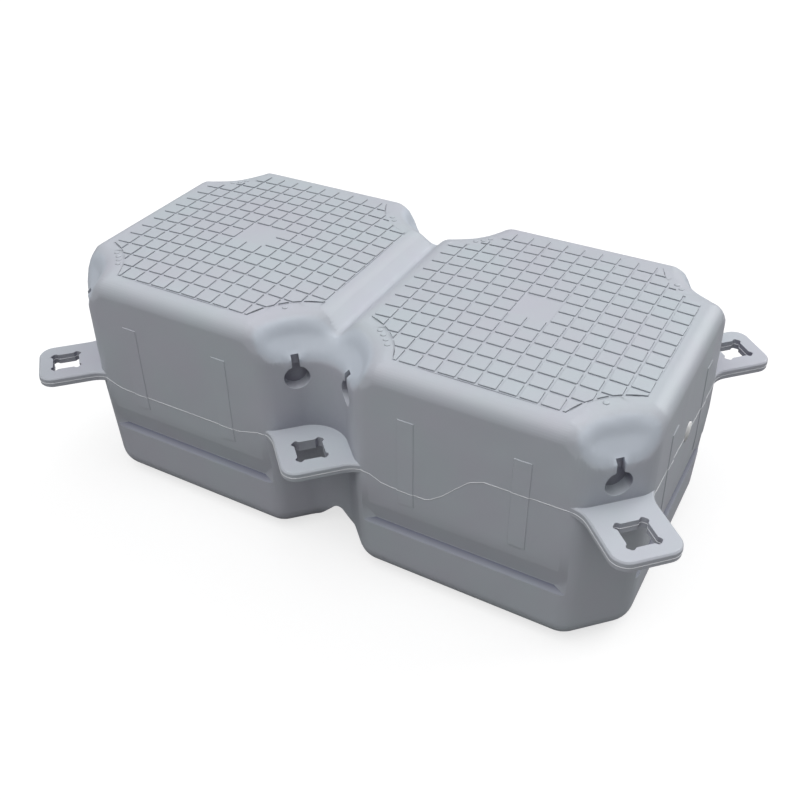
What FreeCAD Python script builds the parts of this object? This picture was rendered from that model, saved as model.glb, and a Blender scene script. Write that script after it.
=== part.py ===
import FreeCAD, Part
import math
import os

# Floating dock cube, double length: one blown, hollow float with two octagonal decks and six
# coupling lugs, and the plug that shuts the blow hole in its right-hand end.
# Millimetres. +X runs along the float, +Y to its back, +Z up. The origin is the middle of the
# flat underside.

doc = FreeCAD.newDocument("floating_dock_cube")
sheet = doc.addObject("Spreadsheet::Sheet", "sizes")

SIZES = [
    # Outer walls of the two cells
    ("cell_pitch", 500.0),
    ("side_gap", 3.0),
    ("deck_rim_height", 396.2),
    ("parting_height", 200.0),
    ("wall", 5.0),
    ("wall_lean", 0.026),
    ("corner_clearance", 58.0),
    ("upright_edge_radius", 44.0),
    ("deck_edge_radius", 26.0),
    ("keel_edge_radius", 44.0),
    # Grooves between the two cells
    ("waist_floor_depth", 25.2),
    ("waist_shoulder_radius", 32.0),
    ("waist_floor_radius", 8.0),
    ("keel_waist_height", 46.0),
    ("keel_shoulder_radius", 46.0),
    ("keel_waist_radius", 14.0),
    # Dished corners
    ("dish_radius", 100.0),
    ("dish_centre_height", 420.0),
    ("dish_rim_depth", 9.9),
    ("dish_rim_reach", 10.2),
    # Coupling lugs, level 1 being the highest
    ("lug_top_height", 278.0),
    ("lug_level_step", 20.0),
    ("lug_thickness", 18.0),
    ("lug_reach", 45.0),
    ("lug_half_width", 50.0),
    ("lug_corner_radius", 24.0),
    ("lug_flare_radius", 45.0),
    ("lug_root_inset", 5.5),
    ("lug_root_length", 120.0),
    ("lug_edge_chamfer", 2.5),
    ("lug_hole_side", 43.0),
    ("lug_notch_width", 12.0),
    ("lug_notch_reach", 31.5),
    # Keyhole pockets in the corner faces
    ("pocket_diameter", 39.0),
    ("pocket_depth", 22.0),
    ("pocket_height", 309.0),
    ("slot_width", 12.0),
    ("slot_depth", 14.0),
    ("slot_top_height", 347.0),
    # Long ledge grooves of the side walls
    ("groove_depth", 8.0),
    ("groove_top_height", 148.0),
    ("groove_floor_height", 116.0),
    ("groove_bottom_height", 106.0),
    ("groove_half_length", 172.0),
    ("groove_run_out", 26.0),
    # Upright bands of the side walls
    ("band_width", 26.0),
    ("band_rise", 1.2),
    ("band_offset", 88.0),
    ("band_bottom_height", 172.0),
    ("band_top_height", 327.0),
    # Crown and tiles of the decks
    ("crown_rise", 6.6),
    ("crown_radius", 4000.0),
    ("tile_pitch", 29.9),
    ("tile_top_width", 24.5),
    ("tile_height", 2.0),
    ("tile_corner_clearance", 130.0),
    # Plug in the blow hole
    ("plug_axis_height", 263.0),
    ("plug_seat_reach", 492.5),
    ("plug_seat_clearance", 1.0),
    ("plug_head_diameter", 30.0),
    ("plug_head_thickness", 4.5),
    ("plug_stem_diameter", 20.0),
    ("plug_stem_length", 14.0),
    ("plug_stem_clearance", 0.1),
    ("plug_boss_diameter", 44.0),
    ("plug_boss_length", 12.0),
]
TILES_PER_SIDE = 14
BARE_TILES_PER_SIDE = 2

for row, (alias, value) in enumerate(SIZES, start=1):
    sheet.set("A%d" % row, alias)
    sheet.set("B%d" % row, str(value))
    sheet.setAlias("B%d" % row, alias)
doc.recompute()

UP = FreeCAD.Vector(0, 0, 1)
UPRIGHT = FreeCAD.Rotation(FreeCAD.Vector(1, 0, 0), 90)
DIAGONAL = FreeCAD.Rotation(UP, 45)


def size(alias):
    """One driving dimension, read from the sheet."""
    return float(sheet.get(alias))


def primitive(kind, name, turn=None, **expressions):
    """A solid whose properties are bound to the sheet; x, y and z bind its place."""
    item = doc.addObject(kind, name)
    item.Label = name
    if turn is not None:
        item.Placement = FreeCAD.Placement(FreeCAD.Vector(), turn)
    for key, text in expressions.items():
        path = "Placement.Base." + key if key in "xyz" else key
        item.setExpression(path, text)
    return item


def combined(kind, name, shapes, refine=False):
    """A fuse or a common of several objects."""
    item = doc.addObject(kind, name)
    item.Label = name
    item.Shapes = shapes
    item.Refine = refine
    return item


def fused(name, shapes, refine=False):
    return combined("Part::MultiFuse", name, shapes, refine)


def less(name, base, tools):
    """The base with the tools cut away."""
    item = doc.addObject("Part::Cut", name)
    item.Label = name
    item.Base = base
    item.Tool = tools[0] if len(tools) == 1 else fused(name + "_tools", tools)
    item.Refine = False
    return item


def mirrored(name, source):
    """The source's twin across the plane between the two cells."""
    item = doc.addObject("Part::Mirroring", name)
    item.Label = name
    item.Source = source
    item.Base = FreeCAD.Vector(0, 0, 0)
    item.Normal = FreeCAD.Vector(1, 0, 0)
    return item


def eased(name, base, radius_of, kind="Part::Fillet"):
    """Fillets or chamfers every edge for which radius_of(shape, edge) gives a size."""
    doc.recompute()
    shape = base.Shape
    picked = []
    for number, edge in enumerate(shape.Edges, start=1):
        radius = radius_of(shape, edge)
        if radius:
            picked.append((number, radius, radius))
    item = doc.addObject(kind, name)
    item.Label = name
    item.Base = base
    item.Edges = picked
    return item


def is_upright(edge):
    """True for an edge that climbs a wall."""
    ends = [vertex.Point for vertex in edge.Vertexes]
    return len(ends) == 2 and abs(ends[1].z - ends[0].z) > 0.9 * edge.Length


def faces_up(face, way):
    """True where a face looks mostly up (way 1) or mostly down (way -1)."""
    u, v = face.Surface.parameter(face.CenterOfMass)
    return face.normalAt(u, v).z * way > 0.5


def lies_along_waist(edge):
    """True for an edge that runs from front to back beside the waist."""
    box = edge.BoundBox
    return box.YLength > size("cell_pitch") / 4 and box.XLength < 12 and abs(box.Center.x) < 75


# Walls, decks and underside
LUG_AXES = {
    "front_left": (-1, -1), "front_middle": (0, -1), "front_right": (1, -1),
    "back_left": (-1, 1), "back_middle": (0, 1), "back_right": (1, 1),
}
LUG_LEVELS = {
    "front_left": 4, "front_middle": 4, "front_right": 1,
    "back_left": 3, "back_middle": 3, "back_right": 2,
}


def cell_blank(name, low, high, inset_low, inset_high):
    """Both octagonal cells between two levels, each level drawn in by its own inset."""
    side = "(sizes.cell_pitch / 2 - sizes.side_gap)"
    end = "(sizes.cell_pitch - sizes.side_gap)"
    corner = "(sizes.cell_pitch / 2 * sqrt(2) - sizes.corner_clearance)"
    long_block = primitive(
        "Part::Wedge", name + "_sides", UPRIGHT, Ymin=low, Ymax=high,
        Xmin=f"-({end} - {inset_low})", Xmax=f"{end} - {inset_low}",
        X2min=f"-({end} - {inset_high})", X2max=f"{end} - {inset_high}",
        Zmin=f"-({side} - {inset_low})", Zmax=f"{side} - {inset_low}",
        Z2min=f"-({side} - {inset_high})", Z2max=f"{side} - {inset_high}")
    diamond = primitive(
        "Part::Wedge", name + "_corners", DIAGONAL * UPRIGHT, Ymin=low, Ymax=high,
        Xmin=f"-({corner} - {inset_low})", Xmax=f"{corner} - {inset_low}",
        X2min=f"-({corner} - {inset_high})", X2max=f"{corner} - {inset_high}",
        Zmin=f"-({corner} - {inset_low})", Zmax=f"{corner} - {inset_low}",
        Z2min=f"-({corner} - {inset_high})", Z2max=f"{corner} - {inset_high}",
        x="sizes.cell_pitch / 2")
    right = combined("Part::MultiCommon", name + "_right", [long_block, diamond])
    return fused(name, [right, mirrored(name + "_left", right)], refine=True)


def waist(name, body, way, inset="0"):
    """Cuts the V between the cells into the decks (way 1) or into the underside (way -1)."""
    level = "(sizes.deck_rim_height - sizes.waist_floor_depth)" if way > 0 else "sizes.keel_waist_height"
    radius = "sizes.waist_floor_radius" if way > 0 else "sizes.keel_waist_radius"
    root = f"{level} - {way} * ({radius} * (sqrt(2) - 1) + {inset} * sqrt(2))"
    bar = primitive(
        "Part::Box", name + "_bar", FreeCAD.Rotation(FreeCAD.Vector(0, 1, 0), -45),
        Length="sizes.cell_pitch / 2", Height="sizes.cell_pitch / 2", Width="sizes.cell_pitch * 1.2",
        x="0", y="-sizes.cell_pitch * 0.6", z=root if way > 0 else f"{root} - sizes.cell_pitch / 2 * sqrt(2)")
    return less(name, body, [bar])


def waist_rounded(name, body, shoulder_radius, floor_radius):
    def shoulder(shape, edge):
        return shoulder_radius if lies_along_waist(edge) and abs(edge.CenterOfMass.x) > 3 else None

    def floor(shape, edge):
        return floor_radius if lies_along_waist(edge) and abs(edge.CenterOfMass.x) < 1 else None

    return eased(name + "_floor", eased(name + "_shoulders", body, shoulder), floor)


def upright_edges(shape, edge):
    return size("upright_edge_radius") if is_upright(edge) and abs(edge.CenterOfMass.x) > 1 else None


def notch_edges(shape, edge):
    return size("corner_clearance") if is_upright(edge) and abs(edge.CenterOfMass.x) < 1 else None


def rim_edges(radius, way):
    """The closed edge between the walls and the decks, or the walls and the underside."""
    def rim_radius(shape, edge):
        sides = [faces_up(face, way) for face in shape.ancestorsOfType(edge, Part.Face)]
        return radius if len(sides) == 2 and sides[0] != sides[1] else None

    return rim_radius


def dish(place, along, across):
    """The round hollow over one lug: a ball, and two cones that ease its rim into the deck."""
    axis = {"x": f"{along} * sizes.cell_pitch", "y": f"{across} * sizes.cell_pitch / 2"}
    drop = "(sizes.dish_centre_height - sizes.deck_rim_height)"
    rim = f"sqrt(sizes.dish_radius * sizes.dish_radius - {drop} * {drop})"
    low_drop = f"({drop} + sizes.dish_rim_depth)"
    foot = f"sqrt(sizes.dish_radius * sizes.dish_radius - {low_drop} * {low_drop})"
    middle = f"({rim} + 0.22 * sizes.dish_rim_reach)"
    seam_up = FreeCAD.Rotation(UP, FreeCAD.Vector(1, 0, 0), FreeCAD.Vector(0, across, 0), "ZXY")
    seam_out = FreeCAD.Rotation(UP, 90 * across)
    return [
        primitive(
            "Part::Sphere", f"dish_{place}_ball", seam_up, Radius="sizes.dish_radius",
            z="sizes.dish_centre_height", **axis),
        primitive(
            "Part::Cone", f"dish_{place}_inner_rim", seam_out, Height="sizes.dish_rim_depth",
            Radius1=foot, Radius2=f"{foot} + ({middle} - {foot}) / 0.72",
            z="sizes.deck_rim_height - sizes.dish_rim_depth", **axis),
        primitive(
            "Part::Cone", f"dish_{place}_outer_rim", seam_out, Height="sizes.dish_rim_depth",
            Radius1=middle, Radius2=f"{middle} + sizes.dish_rim_reach * 0.78 / 0.28",
            z="sizes.deck_rim_height - 0.28 * sizes.dish_rim_depth", **axis),
    ]


def keel_groove():
    """The V under the joint of the two cells, its floor and its shoulders rounded."""
    shoulder = size("keel_shoulder_radius")
    floor = size("keel_waist_radius")
    height = size("keel_waist_height")
    slant = math.sqrt(0.5)
    half = height + floor * (math.sqrt(2) - 1)
    edge = half + shoulder * math.tan(math.pi / 8)
    middle = edge - shoulder * math.sin(math.pi / 8)
    points = [
        FreeCAD.Vector(-edge, 0, 0),
        FreeCAD.Vector(-middle, 0, shoulder * (1 - math.cos(math.pi / 8))),
        FreeCAD.Vector(-edge + shoulder * slant, 0, shoulder * (1 - slant)),
        FreeCAD.Vector(-floor * slant, 0, height - floor * (1 - slant)),
        FreeCAD.Vector(0, 0, height),
    ]
    right = [FreeCAD.Vector(-point.x, 0, point.z) for point in points]
    below = FreeCAD.Vector(0, 0, -shoulder)
    wire = doc.addObject("Part::Feature", "keel_groove_profile")
    wire.Label = "keel_groove_profile"
    wire.Shape = Part.Wire([
        Part.Arc(points[0], points[1], points[2]).toShape(), Part.makeLine(points[2], points[3]),
        Part.Arc(points[3], points[4], right[3]).toShape(), Part.makeLine(right[3], right[2]),
        Part.Arc(right[2], right[1], right[0]).toShape(), Part.makeLine(right[0], right[0] + below),
        Part.makeLine(right[0] + below, points[0] + below), Part.makeLine(points[0] + below, points[0])])
    groove = doc.addObject("Part::Extrusion", "keel_groove")
    groove.Label = "keel_groove"
    groove.Base = wire
    groove.DirMode = "Custom"
    groove.Dir = FreeCAD.Vector(0, 1, 0)
    groove.Solid = True
    groove.Symmetric = True
    groove.setExpression("LengthFwd", "sizes.cell_pitch * 1.2")
    return groove


def outer_skin():
    dish_tools = [tool for place, axes in LUG_AXES.items() for tool in dish(place, *axes)]
    rim_lean = "sizes.wall_lean * (sizes.deck_rim_height - sizes.parting_height)"
    top = cell_blank("top_walls", "sizes.parting_height", "sizes.deck_rim_height", "0", rim_lean)
    top = eased("top_notches", top, notch_edges)
    top = eased("top_uprights", top, upright_edges)
    top = waist("deck_waist", top, 1)
    top = waist_rounded("deck_waist", top, size("waist_shoulder_radius"), size("waist_floor_radius"))
    top = eased("deck_edges", top, rim_edges(size("deck_edge_radius"), 1))
    top = less("dished_top", top, dish_tools)
    foot = cell_blank(
        "foot_walls", "0", "sizes.parting_height", "sizes.wall_lean * sizes.parting_height", "0")
    foot = eased("foot_notches", foot, notch_edges)
    keel_edges = rim_edges(size("keel_edge_radius"), -1)
    foot = eased(
        "foot_edges", foot, lambda shape, edge: upright_edges(shape, edge) or keel_edges(shape, edge))
    foot = less("grooved_foot", foot, [keel_groove()])
    return fused("outer", [top, foot])


def hollow_skin():
    """The hollow inside, stepped in towards the rounded edges of the skin."""
    lean_up = "sizes.wall_lean * (sizes.deck_rim_height - sizes.parting_height)"
    lean_down = "sizes.wall_lean * sizes.parting_height"
    keel = "sizes.keel_edge_radius"
    deck = "sizes.deck_edge_radius"
    levels = [
        ("sizes.wall", f"(sizes.wall + {lean_down} + 0.6 * {keel})"),
        (f"sizes.wall + 0.3 * {keel}", f"(sizes.wall + {lean_down} + 0.21 * {keel})"),
        (f"sizes.wall + 0.68 * {keel}", f"(sizes.wall + {lean_down} + 0.025 * {keel})"),
        ("sizes.parting_height", "sizes.wall"),
        (f"sizes.deck_rim_height - sizes.wall - 0.46 * {deck}", f"(sizes.wall + {lean_up} + 0.06 * {deck})"),
        ("sizes.deck_rim_height - sizes.wall", f"(sizes.wall + {lean_up} + 0.46 * {deck})"),
    ]
    layers = []
    for number, ((low, inset_low), (high, inset_high)) in enumerate(zip(levels, levels[1:]), start=1):
        layers.append(cell_blank(f"hollow_layer_{number}", low, high, inset_low, inset_high))
    body = waist("hollow_waist", fused("hollow_layers", layers), 1, "sizes.wall")
    return waist("hollow_keel_waist", body, -1, "sizes.wall")


def dish_housings():
    """The material kept round each dish, as a blunt cone."""
    reach = "(sizes.dish_radius + sizes.wall)"
    return [
        primitive(
            "Part::Cone", f"dish_housing_{place}", FreeCAD.Rotation(UP, 90 * across),
            Radius1=f"0.45 * {reach}", Radius2=f"1.17 * {reach}", Height="0.8 * sizes.dish_radius",
            x=f"{along} * sizes.cell_pitch", y=f"{across} * sizes.cell_pitch / 2",
            z="sizes.dish_centre_height - sizes.dish_radius - sizes.wall")
        for place, (along, across) in LUG_AXES.items()
    ]


# Coupling lugs
def corner_lug(place, along, across):
    """A plate across one corner of the float, flared where it runs into the walls."""
    name = "lug_" + place
    bottom = f"sizes.lug_top_height - {LUG_LEVELS[place] - 1} * sizes.lug_level_step - sizes.lug_thickness"
    back = "sizes.lug_root_length * 0.75"
    plate = primitive(
        "Part::Box", name + "_plate", FreeCAD.Rotation(UP, math.degrees(math.atan2(across, along))),
        Length=f"sizes.lug_reach + {back}", Width="2 * sizes.lug_half_width", Height="sizes.lug_thickness",
        x=f"{along} * sizes.cell_pitch + ({across} * sizes.lug_half_width - {along} * {back}) / sqrt(2)",
        y=f"{across} * sizes.cell_pitch / 2 - ({along} * sizes.lug_half_width + {across} * {back}) / sqrt(2)",
        z=bottom)
    inner = "(sizes.lug_root_inset + sizes.lug_root_length)"
    root = primitive(
        "Part::Box", name + "_root",
        Length="sizes.lug_root_length", Width="sizes.lug_root_length", Height="sizes.lug_thickness",
        x=f"sizes.cell_pitch - {inner}" if along > 0 else "sizes.lug_root_inset - sizes.cell_pitch",
        y=f"sizes.cell_pitch / 2 - {inner}" if across > 0 else "sizes.lug_root_inset - sizes.cell_pitch / 2",
        z=bottom)
    blank = fused(name + "_blank", [plate, root], refine=True)

    def upright_radius(shape, edge):
        if not is_upright(edge):
            return None
        middle = edge.CenterOfMass
        across_axis = middle.x - along * size("cell_pitch")
        along_axis = middle.y - across * size("cell_pitch") / 2
        outward = (along * across_axis + across * along_axis) / math.sqrt(2)
        sideways = abs(along * along_axis - across * across_axis) / math.sqrt(2)
        if abs(outward - size("lug_reach")) < 0.5:
            return size("lug_corner_radius")
        if abs(sideways - size("lug_half_width")) < 0.5:
            return size("lug_flare_radius")
        return None

    return eased(name + "_outline", blank, upright_radius)


def middle_lug(place, across):
    """A plate that fills the notch between the cells and flares into both their walls."""
    name = "lug_" + place
    bottom = f"sizes.lug_top_height - {LUG_LEVELS[place] - 1} * sizes.lug_level_step - sizes.lug_thickness"
    back = "(sizes.lug_root_length * 0.6)"
    plate = primitive(
        "Part::Box", name + "_plate", FreeCAD.Rotation(UP, 90 * across - 45),
        Length=f"sizes.lug_half_width + {back}", Width=f"sizes.lug_half_width + {back}",
        Height="sizes.lug_thickness",
        x="0", y=f"{across} * (sizes.cell_pitch / 2 - {back} * sqrt(2))", z=bottom)
    inner = "(sizes.lug_root_inset + sizes.lug_root_length)"
    root = primitive(
        "Part::Box", name + "_root",
        Length="2.4 * sizes.lug_root_length", Width="sizes.lug_root_length", Height="sizes.lug_thickness",
        x="-1.2 * sizes.lug_root_length",
        y=f"sizes.cell_pitch / 2 - {inner}" if across > 0 else "sizes.lug_root_inset - sizes.cell_pitch / 2",
        z=bottom)
    blank = fused(name + "_blank", [plate, root], refine=True)

    def upright_radius(shape, edge):
        if not is_upright(edge):
            return None
        outward = edge.CenterOfMass.y * across - size("cell_pitch") / 2
        if outward > size("lug_half_width"):
            return size("lug_corner_radius")
        at_root = abs(outward + size("lug_root_inset")) < 0.5
        at_wall = at_root and abs(edge.CenterOfMass.x) < size("lug_root_length")
        return size("lug_flare_radius") if at_wall else None

    return eased(name + "_outline", blank, upright_radius)


def lug(place, along, across):
    outline = corner_lug(place, along, across) if along else middle_lug(place, across)
    return eased(
        "lug_" + place, outline,
        lambda shape, edge: None if is_upright(edge) else size("lug_edge_chamfer"), "Part::Chamfer")


def lug_hole(place, along, across):
    """The square hole of a lug, notched at its four corners."""
    name = "hole_" + place
    axis_x = f"{along} * sizes.cell_pitch"
    axis_y = f"{across} * sizes.cell_pitch / 2"
    low = f"sizes.lug_top_height - {LUG_LEVELS[place] - 1} * sizes.lug_level_step - 2 * sizes.lug_thickness"
    high = "3 * sizes.lug_thickness"
    square = primitive(
        "Part::Box", name + "_square", DIAGONAL,
        Length="sizes.lug_hole_side", Width="sizes.lug_hole_side", Height=high,
        x=axis_x, y=f"{axis_y} - sizes.lug_hole_side / sqrt(2)", z=low)
    along_notches = primitive(
        "Part::Box", name + "_notches_along", Height=high,
        Length="2 * sizes.lug_notch_reach", Width="sizes.lug_notch_width",
        x=f"{axis_x} - sizes.lug_notch_reach", y=f"{axis_y} - sizes.lug_notch_width / 2", z=low)
    across_notches = primitive(
        "Part::Box", name + "_notches_across", Height=high,
        Length="sizes.lug_notch_width", Width="2 * sizes.lug_notch_reach",
        x=f"{axis_x} - sizes.lug_notch_width / 2", y=f"{axis_y} - sizes.lug_notch_reach", z=low)
    return [square, along_notches, across_notches]


# Keyhole pockets
def pocket(name, along, across, way_x, way_y):
    """A round pocket with a slot above it, sunk into a corner face along (way_x, way_y)."""
    start = "(sizes.corner_clearance - sizes.pocket_depth / 2)"
    round_part = primitive(
        "Part::Cylinder", name + "_round", FreeCAD.Rotation(UP, FreeCAD.Vector(way_x, way_y, 0)),
        Radius="sizes.pocket_diameter / 2", Height="sizes.pocket_depth * 1.5",
        x=f"{along} * sizes.cell_pitch + {way_x} * {start} / sqrt(2)",
        y=f"{across} * sizes.cell_pitch / 2 + {way_y} * {start} / sqrt(2)", z="sizes.pocket_height")
    half = "(sizes.slot_width / 2)"
    slot = primitive(
        "Part::Box", name + "_slot", FreeCAD.Rotation(UP, math.degrees(math.atan2(way_y, way_x))),
        Length="sizes.slot_depth + sizes.pocket_depth / 2", Width=f"2 * {half}",
        Height="sizes.slot_top_height - sizes.pocket_height",
        x=f"{along} * sizes.cell_pitch + ({way_x} * {start} + {way_y} * {half}) / sqrt(2)",
        y=f"{across} * sizes.cell_pitch / 2 + ({way_y} * {start} - {way_x} * {half}) / sqrt(2)",
        z="sizes.pocket_height")
    return [round_part, slot]


def pockets(name):
    tools = []
    for place, (along, across) in LUG_AXES.items():
        for way_x in ([-along] if along else [-1, 1]):
            side = "" if along else ("_left" if way_x < 0 else "_right")
            tools += pocket(f"{name}_{place}{side}", along, across, way_x, -across)
    return tools


def pocket_housings():
    """The material kept round each pocket, as a plain block."""
    tools = []
    half = "(sizes.pocket_diameter / 2 + sizes.wall)"
    start = "(sizes.corner_clearance - sizes.pocket_depth / 2)"
    for place, (along, across) in LUG_AXES.items():
        for way_x in ([-along] if along else [-1, 1]):
            tools.append(primitive(
                "Part::Box", f"pocket_housing_{place}_{way_x + 1}",
                FreeCAD.Rotation(UP, math.degrees(math.atan2(-across, way_x))),
                Length="sizes.pocket_depth * 1.5 + sizes.wall", Width=f"2 * {half}",
                Height=f"{half} + sizes.slot_top_height - sizes.pocket_height + sizes.wall",
                x=f"{along} * sizes.cell_pitch + ({way_x} * {start} - {across} * {half}) / sqrt(2)",
                y=f"{across} * sizes.cell_pitch / 2 - ({across} * {start} + {way_x} * {half}) / sqrt(2)",
                z=f"sizes.pocket_height - {half}"))
    return tools


# Ledge grooves and bands of the side walls
WALL_FACES = {
    "front_left": (-0.5, -1, 0), "front_right": (0.5, -1, 0), "back_left": (-0.5, 1, 180),
    "back_right": (0.5, 1, 180), "left_end": (-1, 0, -90), "right_end": (1, 0, 90),
}


def grooves(name, grow):
    """A long groove in each wall: it slopes in from above and steps out again sharply below."""
    tools = []
    proud = "sizes.groove_depth"
    sunk = f"({proud} + sizes.wall_lean * (sizes.parting_height - sizes.groove_floor_height))"
    rise = f"(sizes.groove_top_height - sizes.groove_floor_height) * (1 + {sunk} / sizes.groove_depth)"
    drop = f"(sizes.groove_floor_height - sizes.groove_bottom_height) * (1 + {sunk} / sizes.groove_depth)"
    spread = f"sizes.groove_run_out * {sunk} / sizes.groove_depth"
    for face, (along, across, turn) in WALL_FACES.items():
        reach_x = "sizes.side_gap" if not across else "0"
        reach_y = "sizes.side_gap" if across else "0"
        tools.append(primitive(
            "Part::Wedge", f"{name}_{face}", FreeCAD.Rotation(UP, turn),
            Ymin="0", Ymax=f"{sunk} + sizes.groove_depth + {grow}",
            Xmin=f"-(sizes.groove_half_length + {spread} + {grow})",
            Xmax=f"sizes.groove_half_length + {spread} + {grow}",
            X2min=f"-(sizes.groove_half_length - sizes.groove_run_out + {grow})",
            X2max=f"sizes.groove_half_length - sizes.groove_run_out + {grow}",
            Zmin=f"-({drop} + {grow})", Zmax=f"{rise} + {grow}",
            Z2min=f"-(1.5 + {grow})", Z2max=f"1.5 + {grow}",
            x=f"{along} * (sizes.cell_pitch - {reach_x} + {0 if across else 1} * {proud})",
            y=f"{across} * (sizes.cell_pitch / 2 - {reach_y} + {proud})",
            z="sizes.groove_floor_height"))
    return tools


def bands():
    """Slightly raised upright bands, each bar reaching through the float to both its faces."""
    bars = []
    side = "(sizes.cell_pitch / 2 - sizes.side_gap + sizes.band_rise)"
    end = "(sizes.cell_pitch - sizes.side_gap + sizes.band_rise)"
    half = "sizes.band_width / 2"
    top_lean = "sizes.wall_lean * (sizes.band_top_height - sizes.parting_height)"
    foot_lean = "sizes.wall_lean * (sizes.parting_height - sizes.band_bottom_height)"
    levels = [
        ("upper", "sizes.parting_height", "sizes.band_top_height", "0", top_lean),
        ("lower", "sizes.band_bottom_height", "sizes.parting_height", foot_lean, "0"),
    ]
    for level, low, high, lean_low, lean_high in levels:
        for number, (cell, way) in enumerate([(-1, -1), (-1, 1), (1, -1), (1, 1)], start=1):
            bars.append(primitive(
                "Part::Wedge", f"band_across_{number}_{level}", UPRIGHT, Ymin=low, Ymax=high,
                Xmin=f"-{half}", Xmax=half, X2min=f"-{half}", X2max=half,
                Zmin=f"-({side} - {lean_low})", Zmax=f"{side} - {lean_low}",
                Z2min=f"-({side} - {lean_high})", Z2max=f"{side} - {lean_high}",
                x=f"{cell} * sizes.cell_pitch / 2 + {way} * sizes.band_offset"))
        for number, way in enumerate([-1, 1], start=1):
            bars.append(primitive(
                "Part::Wedge", f"band_along_{number}_{level}", UPRIGHT, Ymin=low, Ymax=high,
                Xmin=f"-({end} - {lean_low})", Xmax=f"{end} - {lean_low}",
                X2min=f"-({end} - {lean_high})", X2max=f"{end} - {lean_high}",
                Zmin=f"-{half}", Zmax=half, Z2min=f"-{half}", Z2max=half,
                y=f"{way} * sizes.band_offset"))
    return bars


# Deck relief
def deck_relief(name, cell):
    """The crowned panel of one deck: raised tiles with a V between them, bare in the middle."""
    pitch = size("tile_pitch")
    rim = size("deck_rim_height")
    half_cell = size("cell_pitch") / 2
    inset = (pitch - size("tile_top_width")) / 2
    bare = BARE_TILES_PER_SIDE / 2 * pitch
    lines = [(number - TILES_PER_SIDE / 2) * pitch for number in range(TILES_PER_SIDE + 1)]
    sunk = rim - 2 * size("crown_rise")

    def crown(x, y, lift=0.0):
        level = rim + size("crown_rise") - (x * x + y * y) / 2 / size("crown_radius")
        return FreeCAD.Vector(cell * half_cell + x, y, level + lift)

    def ring_face(*corners):
        return Part.Face(Part.makePolygon(list(corners) + [corners[0]]))

    faces = []
    for left, right in zip(lines, lines[1:]):
        for front, back in zip(lines, lines[1:]):
            base = [crown(left, front), crown(right, front), crown(right, back), crown(left, back)]
            if max(abs(left + right), abs(front + back)) / 2 < bare:
                faces.append(ring_face(*base))
                continue
            middle = (base[0] + base[2]) / 2
            top = [
                middle + (corner - middle) * (1 - 2 * inset / pitch) + UP * size("tile_height")
                for corner in base
            ]
            faces.append(ring_face(*top))
            for number in range(4):
                after = (number + 1) % 4
                faces.append(ring_face(base[number], base[after], top[after], top[number]))
    end = lines[-1]
    border = [(step, -end) for step in lines] + [(end, step) for step in lines[1:]]
    border += [(-step, end) for step in lines[1:]] + [(-end, -step) for step in lines[1:-1]]
    upper = [crown(x, y) for x, y in border]
    lower = [FreeCAD.Vector(point.x, point.y, sunk) for point in upper]
    for number in range(len(border)):
        after = (number + 1) % len(border)
        faces.append(ring_face(upper[number], upper[after], lower[after], lower[number]))
    faces.append(ring_face(*lower))
    panel = Part.Solid(Part.Shell(faces))
    if panel.Volume < 0:
        panel.reverse()
    clearings = [
        Part.makeCylinder(
            size("tile_corner_clearance"), 2 * rim,
            FreeCAD.Vector(along * size("cell_pitch"), across * half_cell, 0))
        for along, across in LUG_AXES.values() if along in (0, cell)
    ]
    item = doc.addObject("Part::Feature", name)
    item.Label = name
    item.Shape = panel.cut(clearings)
    return item


# Blow hole and plug
def lying(name, radius, length, reach):
    """A cylinder along X whose inner end is at the given reach, on the plug's axis."""
    return primitive(
        "Part::Cylinder", name, FreeCAD.Rotation(FreeCAD.Vector(0, 1, 0), 90),
        Radius=radius, Height=length, x=reach, z="sizes.plug_axis_height")


outer = outer_skin()
lugs = [lug(place, along, across) for place, (along, across) in LUG_AXES.items()]
solid_float = fused("solid_float", [outer] + bands() + lugs)

tools = pockets("pocket") + grooves("groove", "0")
for place, (along, across) in LUG_AXES.items():
    tools += lug_hole(place, along, across)
tools.append(lying(
    "plug_seat", "sizes.plug_head_diameter / 2 + sizes.plug_seat_clearance", "sizes.plug_head_thickness * 4",
    "sizes.plug_seat_reach"))
tools.append(lying(
    "plug_bore", "sizes.plug_stem_diameter / 2 + sizes.plug_stem_clearance", "sizes.plug_stem_length * 3",
    "sizes.plug_seat_reach - sizes.plug_stem_length * 2"))
carved = less("carved_float", solid_float, tools)
tiled = fused(
    "tiled_float", [carved, deck_relief("left_deck_relief", -1), deck_relief("right_deck_relief", 1)])

boss = lying(
    "plug_boss", "sizes.plug_boss_diameter / 2", "sizes.plug_boss_length * 2",
    "sizes.plug_seat_reach - sizes.plug_boss_length")
housings = pocket_housings() + grooves("groove_housing", "sizes.wall") + [boss]
cavity = less("cavity", hollow_skin(), housings + dish_housings())
float_body = less("float_body", tiled, [cavity])

head = lying(
    "plug_head", "sizes.plug_head_diameter / 2", "sizes.plug_head_thickness", "sizes.plug_seat_reach")
stem = lying(
    "plug_stem", "sizes.plug_stem_diameter / 2", "sizes.plug_stem_length",
    "sizes.plug_seat_reach - sizes.plug_stem_length")
filler_plug = fused("filler_plug", [head, stem])
doc.recompute()
for item in doc.Objects:
    faults = [state for state in item.State if state in ("Invalid", "Error")]
    if faults:
        raise RuntimeError(f"{item.Label} did not build: {faults}")
for node in (float_body, filler_plug):
    if node.Shape.isNull() or not node.Shape.isValid():
        raise RuntimeError(f"{node.Label} has no valid shape")

os.makedirs("parts", exist_ok=True)
for node in (float_body, filler_plug):
    node.Shape.exportStep(f"parts/{node.Label}.step")
    print(node.Label, len(node.Shape.Solids), "solid", round(node.Shape.Volume / 1000), "cm3")
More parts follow.
